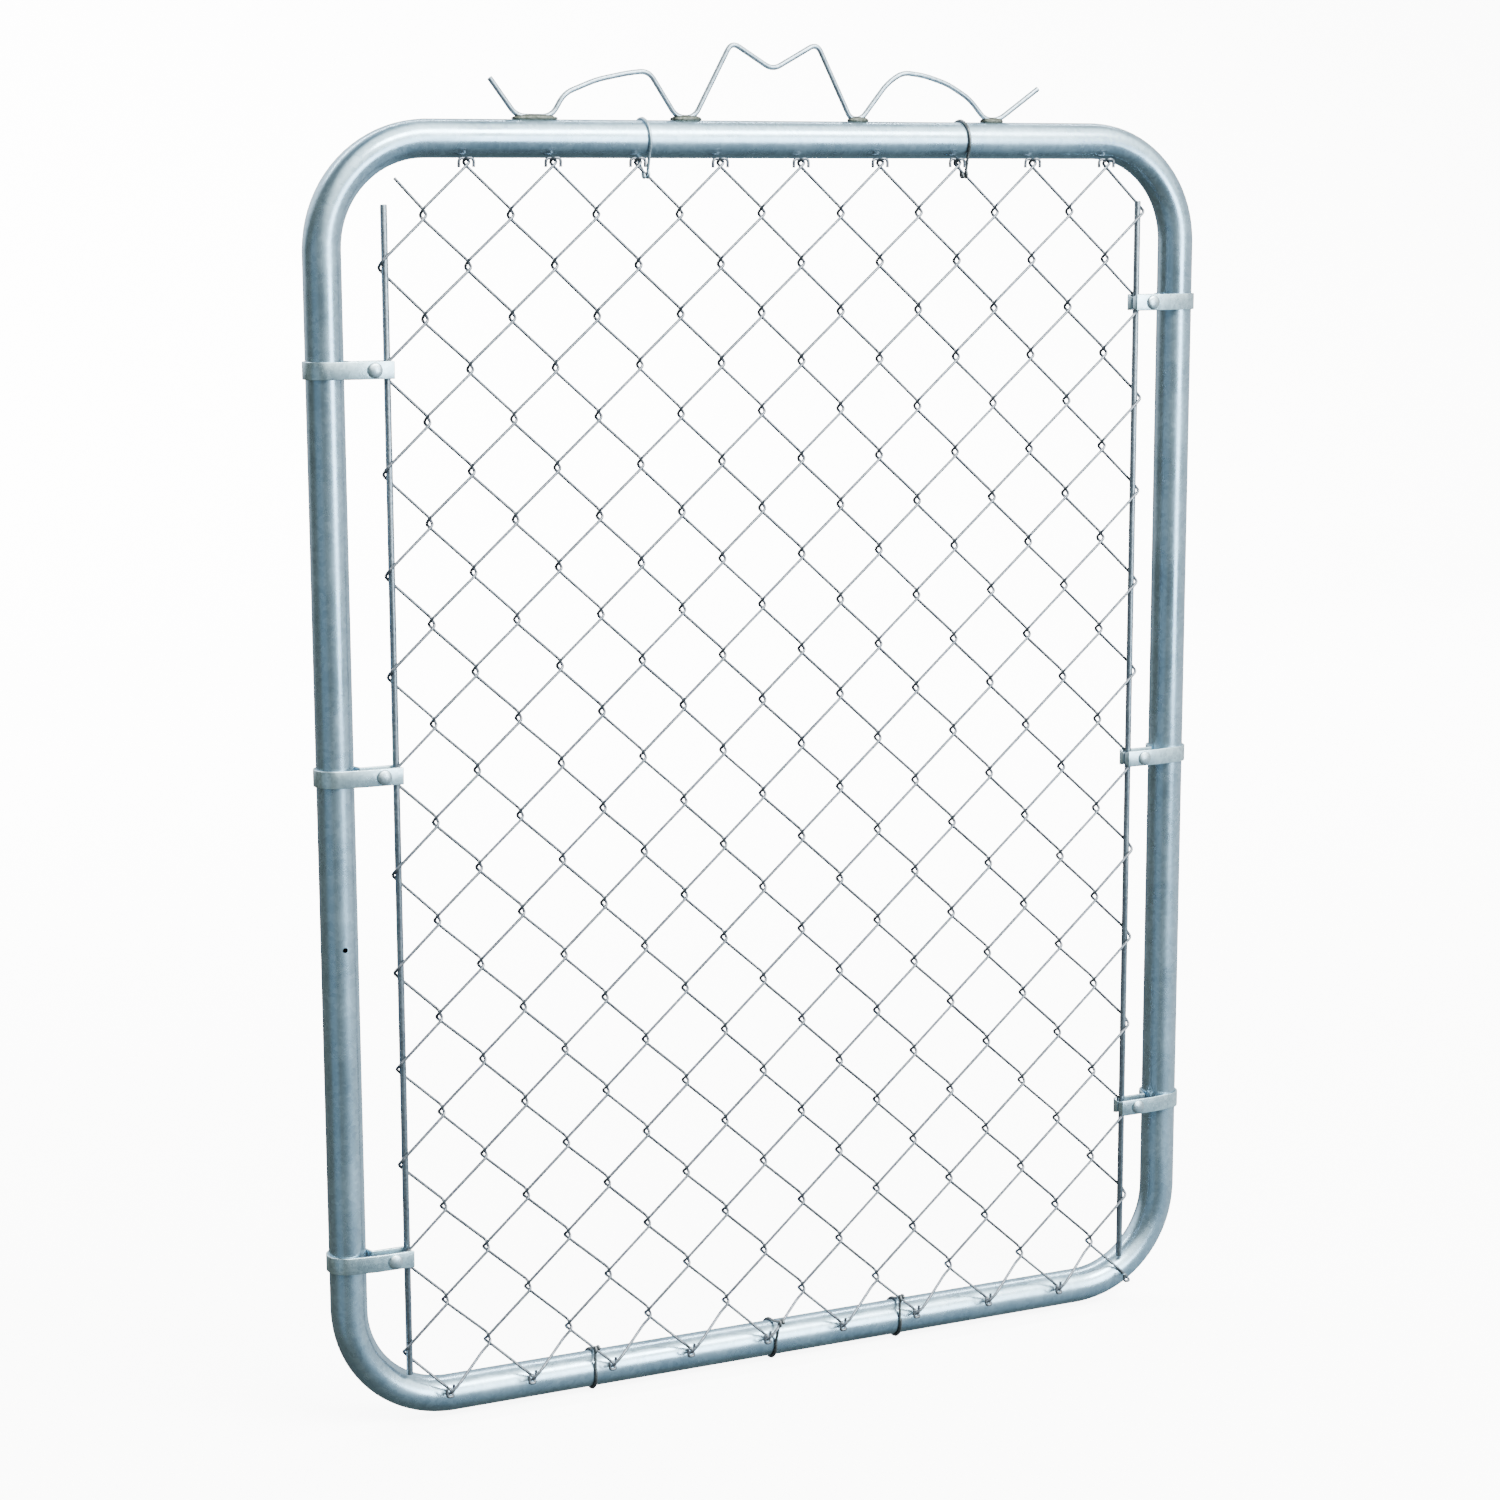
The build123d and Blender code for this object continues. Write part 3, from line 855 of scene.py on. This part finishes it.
def weld_beads():
    """A short uneven bead of weld on each side of every foot of the scroll."""
    bead_z = TOP_Z + TUBE_R + BEAD_RISE
    chance = random.Random(5)
    beads = []
    for outer, inner in FEET:
        for front in (-1, 1):
            drop_selection()
            bead_x = MIDDLE_X + ((outer + inner) / 2 + chance.uniform(-BEAD_SLIDE, BEAD_SLIDE)) * MM
            bpy.ops.mesh.primitive_uv_sphere_add(segments=20, ring_count=12, radius=1,
                                                 location=(bead_x, front * BEAD_Y, bead_z))
            bead = bpy.context.object
            half_length = ((inner - outer) / 2 + chance.uniform(*BEAD_LONGER)) * MM
            bead.scale = (half_length, BEAD_R, BEAD_R)
            bpy.ops.object.transform_apply(location=True, scale=True)
            beads.append(bead)
    weld = join(beads)
    ripple = bpy.data.textures.new("weld_ripple", "CLOUDS")
    ripple.noise_scale = RIPPLE_SCALE
    apply_modifier(weld, "DISPLACE", texture=ripple, texture_coords="LOCAL", strength=RIPPLE)
    bpy.data.textures.remove(ripple)
    return settle(weld, "scroll_welds", 60.0)


# Build the leaf

finish(frame_tube(), TUBE_FINISH, "frame_tube",
       "left_stile", "right_stile", "top_rail", "bottom_rail", "corner_bends")
finish(woven_fabric(), WIRE_FINISH, "fabric_wire", "chain_link_fabric")
for side in ("left", "right"):
    rod = tension_rod(f"tension_rod_{side}", f"{side}_tension_rod")
    finish(rod, ROD_FINISH, "tension_rod", f"{side}_tension_rod")
bands_with_bolts()
tie_wires()
finish(scroll(), SCROLL_FINISH, "scroll_wire", "top_scroll")
finish(weld_beads(), WELD_FINISH, "scroll_wire")


# Studio: a pale seamless room, soft lights and the camera

def studio_room():
    """Floor that curves up into plain walls on all four sides, open at the top."""
    floor_z = cad_box[0].z
    drop_selection()
    bpy.ops.mesh.primitive_cube_add(size=1, location=(MIDDLE_X, 0, floor_z + ROOM_SIZE[2] / 2))
    room = bpy.context.object
    room.scale = ROOM_SIZE
    bpy.ops.object.transform_apply(location=True, scale=True)
    bpy.ops.object.mode_set(mode="EDIT")
    pick(room, "faces", lambda face: face.normal.z > 0.9)
    bpy.ops.mesh.delete(type="ONLY_FACE")
    bpy.ops.mesh.select_all(action="SELECT")
    bpy.ops.mesh.flip_normals()
    bpy.ops.object.mode_set(mode="OBJECT")
    apply_modifier(room, "BEVEL", width=ROOM_CURVE, segments=ROOM_CURVE_STEPS,
                   limit_method="ANGLE", angle_limit=math.radians(40))
    settle(room, "studio_room", 60.0)
    paper = bpy.data.materials.new("white_paper")
    paper.use_nodes = True
    shader = paper.node_tree.nodes["Principled BSDF"]
    shader.inputs["Base Color"].default_value = (0.95, 0.95, 0.95, 1)
    shader.inputs["Roughness"].default_value = 0.9
    shader.inputs["Specular IOR Level"].default_value = 0.1
    shader.inputs["Emission Color"].default_value = (1, 1, 1, 1)
    shader.inputs["Emission Strength"].default_value = PAPER_GLOW
    room.data.materials.append(paper)
    room.visible_glossy = False
    room.visible_diffuse = False
    room.visible_shadow = False


def soft_light(name, place, aim, width, height, power, colour):
    """A rectangular lamp at its place, turned to what it is aimed at."""
    lamp = bpy.data.lights.new(name, "AREA")
    lamp.shape = "RECTANGLE"
    lamp.size = width
    lamp.size_y = height
    lamp.energy = power
    lamp.color = colour
    obj = bpy.data.objects.new(name, lamp)
    obj.location = place
    obj.rotation_euler = (Vector(aim) - Vector(place)).to_track_quat("-Z", "Y").to_euler()
    bpy.context.collection.objects.link(obj)


def camera():
    """The place the photograph was taken from, looking down a little."""
    sin_yaw, cos_yaw = math.sin(CAMERA_YAW), math.cos(CAMERA_YAW)
    sin_pitch, cos_pitch = math.sin(CAMERA_PITCH), math.cos(CAMERA_PITCH)
    sin_roll, cos_roll = math.sin(CAMERA_ROLL), math.cos(CAMERA_ROLL)
    ahead = Vector((sin_yaw * cos_pitch, cos_yaw * cos_pitch, -sin_pitch))
    level = Vector((cos_yaw, -sin_yaw, 0))
    down = ahead.cross(level)
    right = cos_roll * level + sin_roll * down
    low = -sin_roll * level + cos_roll * down
    lens = bpy.data.cameras.new("photo_camera")
    lens.sensor_width = SENSOR_WIDTH
    lens.lens = LENS
    lens.clip_end = 60
    obj = bpy.data.objects.new("photo_camera", lens)
    obj.matrix_world = Matrix((
        (right.x, -low.x, -ahead.x, CAMERA_PLACE[0]),
        (right.y, -low.y, -ahead.y, CAMERA_PLACE[1]),
        (right.z, -low.z, -ahead.z, CAMERA_PLACE[2]),
        (0, 0, 0, 1),
    ))
    bpy.context.collection.objects.link(obj)
    bpy.context.scene.camera = obj


def studio_air():
    """Soft light all round, dim at the left and pale at the right, with patches of their own.

    The patches are a blue one at the left, a bright sky high in front, one high behind, and dim ground.
    """
    world = bpy.data.worlds.new("studio_air")
    world.use_nodes = True
    tree = world.node_tree
    place = tree.nodes.new("ShaderNodeTexCoord").outputs["Generated"]

    def share_along(direction, low, high):
        """From 0 to 1 as a place in the air nears the direction, its cosine going from low to high."""
        slope = tree.nodes.new("ShaderNodeVectorMath")
        slope.operation = "DOT_PRODUCT"
        slope.inputs[1].default_value = direction
        tree.links.new(place, slope.inputs[0])
        share = node(tree, "ShaderNodeMapRange", From_Min=low, From_Max=high)
        share.interpolation_type = "SMOOTHSTEP"
        tree.links.new(slope.outputs["Value"], share.inputs["Value"])
        return share.outputs["Result"]

    air = ramp(tree, share_along(AIR_DIRECTION, *AIR_REACH), AIR_TONES)
    for direction, low, high, colour in AIR_PATCHES:
        air = blend_colours(tree, "MIX", share_along(direction, low, high), air, colour)
    tree.links.new(air, tree.nodes["Background"].inputs["Color"])
    bpy.context.scene.world = world


studio_room()
for light in LIGHTS:
    soft_light(*light)
studio_air()
camera()

drop_selection()
